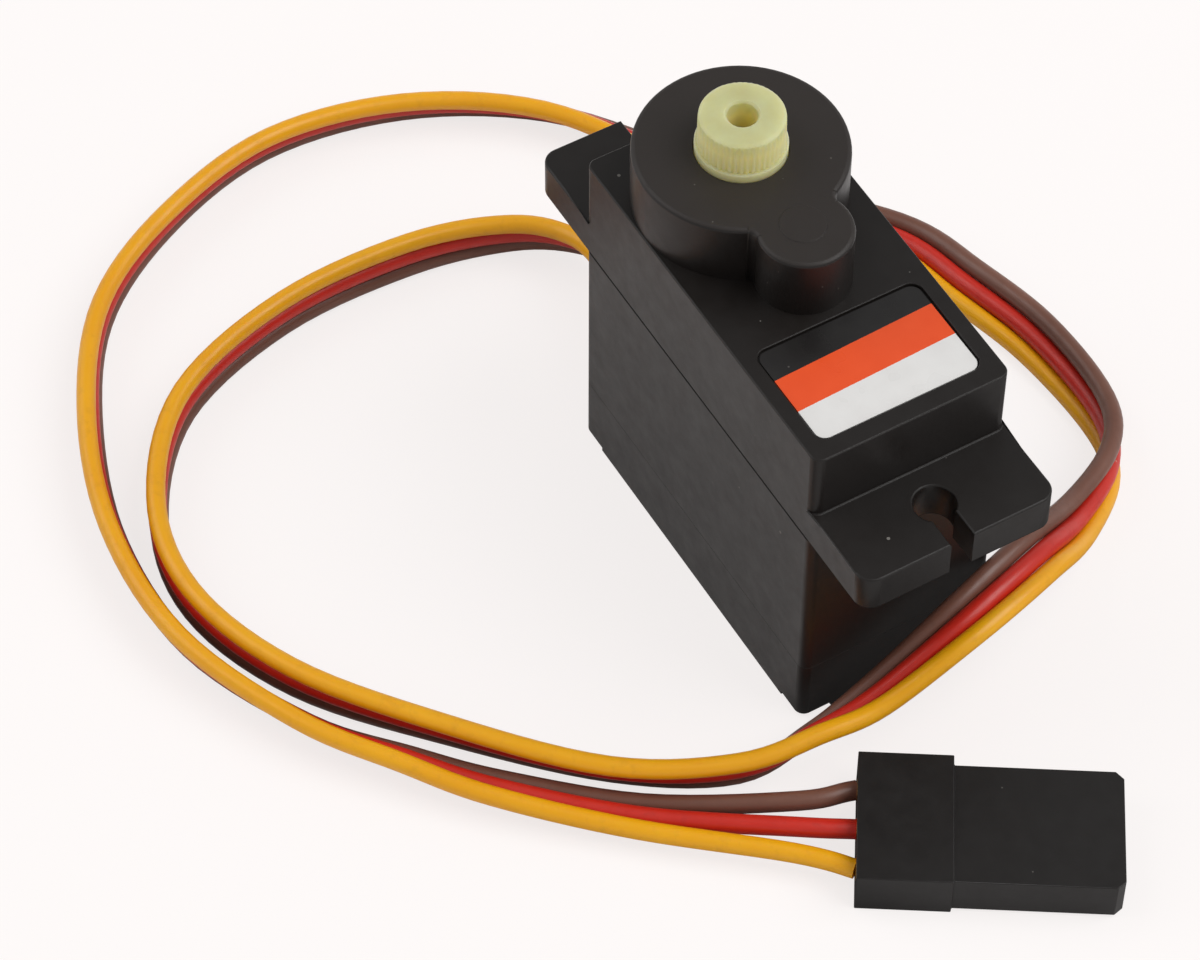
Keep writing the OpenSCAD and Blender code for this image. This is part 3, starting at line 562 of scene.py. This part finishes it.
def rounded_shell():
    """The shell, cut at CUTS first so that no flat face has a hole and each edge rounds cleanly."""
    mesh, build = copied("upper_case", "upper_shell")
    for x in CUTS:
        everything = build.verts[:] + build.edges[:] + build.faces[:]
        bmesh.ops.bisect_plane(build, geom=everything, dist=1e-7,
                               plane_co=(x * MM, 0, 0), plane_no=(1, 0, 0))
    for edge in build.edges:
        edge.seam = any(all(abs(v.co.x - x * MM) < 2e-7 for v in edge.verts) for x in CUTS)
    bmesh.ops.dissolve_limit(build, angle_limit=FLAT_ANGLE, verts=build.verts, edges=build.edges,
                             delimit={"SEAM"})
    layer = build.edges.layers.float.new("bevel_weight_edge")
    for edge in build.edges:
        if len(edge.link_faces) == 2 and edge.calc_face_angle() > EDGE_ANGLE:
            middle = (edge.verts[0].co + edge.verts[1].co) / 2 / MM
            edge[layer] = edge_share(*middle)
            edge.smooth = edge[layer] > 0
    shell = finished(mesh, build, case_black)
    bevel = shell.modifiers.new("edge", "BEVEL")
    bevel.width = FULL_EDGE * MM
    bevel.segments = EDGE_STEPS
    bevel.limit_method = "WEIGHT"
    bevel.use_clamp_overlap = False
    even_shading(shell, True)
    return shell


def smooth_spline():
    """A copy of the output gear whose spline has shallower teeth with soft flanks."""
    mesh, build = copied("output_gear", "output_moulding")
    for vert in build.verts:
        x, y, z = vert.co / MM
        r = math.hypot(x - TURRET_X, y)
        if z > SPLINE_FOOT + 0.005 and r > SPLINE_MID - 0.07:
            new = SPLINE_MID + TOOTH_SHARE * (r - SPLINE_MID)
            vert.co.x = (TURRET_X + (x - TURRET_X) * new / r) * MM
            vert.co.y = y * new / r * MM
    for face in build.faces:
        face.smooth = True
    for edge in build.edges:
        a, b = (vert.co / MM for vert in edge.verts)
        flank = min(a.z, b.z) > SPLINE_FOOT - 0.01 and abs(a.z - b.z) > 0.05
        if len(edge.link_faces) == 2:
            edge.smooth = flank or edge.calc_face_angle() < SMOOTH_ANGLE
    gear = finished(mesh, build, spline_nylon)
    even_shading(gear, True)
    return gear


def bump_fillets(hollow=0.45, rim=0.25, lift=0.002, sunk=0.1, depth=1.0, steps=5, arc=8):
    """The hollow fillets between turret and bump, with the rounded rim of both.

    hollow and rim are radii. A fillet stands lift above the turret's top, so that their faces don't
    share a place, and goes sunk below the deck and depth into the shell.
    """
    reach_a, reach_b = TURRET_R + hollow, BUMP_R + hollow
    gap = BUMP_X - TURRET_X
    along = (gap * gap + reach_a * reach_a - reach_b * reach_b) / (2 * gap)
    off = math.sqrt(reach_a * reach_a - along * along)
    build = bmesh.new()
    for side in (-1, 1):
        centre = Vector((TURRET_X + along, side * off))
        a = Vector((TURRET_X, 0)) - centre
        b = Vector((BUMP_X, 0)) - centre
        start, turn = math.atan2(a.y, a.x), a.angle_signed(b)
        levels = [(DECK - sunk, 0.0)] + [
            (TURRET_TOP - rim + rim * math.sin(math.pi / 2 * k / steps) + lift,
             rim * (1 - math.cos(math.pi / 2 * k / steps))) for k in range(steps + 1)]
        inner = Vector((TURRET_X + along, side * (off - hollow - depth)))
        loops = []
        for z, inset in levels:
            ring = []
            for k in range(arc + 1):
                angle = start - turn * k / arc
                spot = centre + (hollow + inset) * Vector((math.cos(angle), math.sin(angle)))
                ring.append(build.verts.new((*(spot * MM), z * MM)))
            ring.append(build.verts.new((*(inner * MM), z * MM)))
            loops.append(ring)
        for low, high in zip(loops, loops[1:]):
            for k in range(len(low)):
                n = (k + 1) % len(low)
                face = build.faces.new((low[k], low[n], high[n], high[k]))
                face.smooth = k < arc
        build.faces.new(loops[0])
        build.faces.new(loops[-1])
    bmesh.ops.recalc_face_normals(build, faces=build.faces)
    mesh = bpy.data.meshes.new("bump_fillets")
    build.to_mesh(mesh)
    build.free()
    mesh.materials.append(case_black)
    return collect(bpy.data.objects.new("bump_fillets", mesh))


moulding = smooth_spline()
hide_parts("output_gear")
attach(moulding, "output")
shell = rounded_shell()
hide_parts("upper_case")
for piece in (shell, bump_fillets()):
    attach(piece, "case")

# ---- wires ----

for name, k, skin in (("yellow", -1, yellow_skin), ("red", 0, red_skin), ("brown", 1, brown_skin)):
    points = wire_points(k)
    curve = bpy.data.curves.new(f"wire_{name}", "CURVE")
    curve.dimensions = "3D"
    curve.bevel_depth = WIRE_D / 2 * MM
    curve.bevel_resolution = 5
    curve.use_fill_caps = True
    spline = curve.splines.new("POLY")
    spline.points.add(len(points) - 1)
    for target, p in zip(spline.points, points):
        target.co = (*p, 1)
    spline.use_smooth = True
    wire = collect(bpy.data.objects.new(f"wire_{name}", curve))
    curve.materials.append(skin)
    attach(wire, "case")
    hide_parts(f"lead_{name}")

# ---- floor, light and surroundings ----

floor_mesh = bpy.data.meshes.new("floor")
build = bmesh.new()
bmesh.ops.create_grid(build, x_segments=1, y_segments=1, size=3)
build.to_mesh(floor_mesh)
build.free()
floor = collect(bpy.data.objects.new("floor", floor_mesh))
floor.location.z = -0.00002


def seen_rays(tree):
    """How much of the floor's own glow a ray sees: in full, except in reflections."""
    path = add(tree, "ShaderNodeLightPath")
    seen = calc(tree, "MAXIMUM", path.outputs["Is Camera Ray"], path.outputs["Is Transmission Ray"])
    return calc(tree, "MAXIMUM", seen, calc(tree, "MULTIPLY", path.outputs["Is Glossy Ray"], 0.1))


paper = bpy.data.materials.new("floor_white")
paper.use_nodes = True
tree = paper.node_tree
tree.nodes.remove(tree.nodes["Principled BSDF"])
output = tree.nodes["Material Output"]
apart = add(tree, "ShaderNodeSeparateXYZ", {"Vector": place(tree)})
# Painted shade seen only in reflections: the floor is dark beside the labelled end
floor_shade_near = span(tree, apart.outputs["X"], 9 * MM, 12 * MM, 0.0, 0.93)
floor_shade_far = span(tree, apart.outputs["X"], 22 * MM, 27 * MM, 0.0, 0.6)
painted_floor_shade = calc(tree, "SUBTRACT", floor_shade_near, floor_shade_far)
painted_floor_shade = calc(tree, "MULTIPLY", painted_floor_shade, add(tree, "ShaderNodeLightPath").outputs["Is Glossy Ray"])
tone = mix(tree, painted_floor_shade, (0.86, 0.83, 0.82, 1), (0.05, 0.05, 0.05, 1))
matte = add(tree, "ShaderNodeBsdfDiffuse", {"Color": tone}).outputs["BSDF"]
glow = add(tree, "ShaderNodeEmission",
           {"Color": (1, 0.965, 0.955, 1), "Strength": 1.04}).outputs["Emission"]
share = calc(tree, "MULTIPLY", seen_rays(tree), 0.76)
joined = add(tree, "ShaderNodeMixShader", {0: share, 1: matte, 2: glow}).outputs["Shader"]
tree.links.new(joined, output.inputs["Surface"])
floor_mesh.materials.append(paper)

world = bpy.data.worlds.new("studio")
world.use_nodes = True
bpy.context.scene.world = world
tree = world.node_tree
sky = tree.nodes["Background"]
sky.inputs["Color"].default_value = (1, 1, 1, 1)
path = add(tree, "ShaderNodeLightPath")
# The surroundings are brighter near the horizon than overhead
way = add(tree, "ShaderNodeTexCoord").outputs["Generated"]
rise = add(tree, "ShaderNodeSeparateXYZ", {"Vector": way}).outputs["Z"]
glowing = span(tree, rise, 0.0, 0.9, 0.62, 0.3)
strength = calc(tree, "MAXIMUM", glowing, path.outputs["Is Camera Ray"])
tree.links.new(strength, sky.inputs["Strength"])


def softbox(name, at, size, power, aim=(0, -0.01, 0.01)):
    data = bpy.data.lights.new(name, "AREA")
    data.shape = "RECTANGLE"
    data.size, data.size_y = size
    data.energy = power
    lamp = collect(bpy.data.objects.new(name, data))
    lamp.location = at
    toward = Vector(aim) - Vector(at)
    lamp.rotation_euler = toward.to_track_quat("-Z", "Y").to_euler()
    return lamp


softbox("key", (0.35, 0.42, 0.75), (0.7, 0.7), 5.5)
softbox("fill", (-0.5, -0.5, 0.7), (0.8, 0.8), 3.0)

bpy.context.scene.view_settings.view_transform = "Standard"
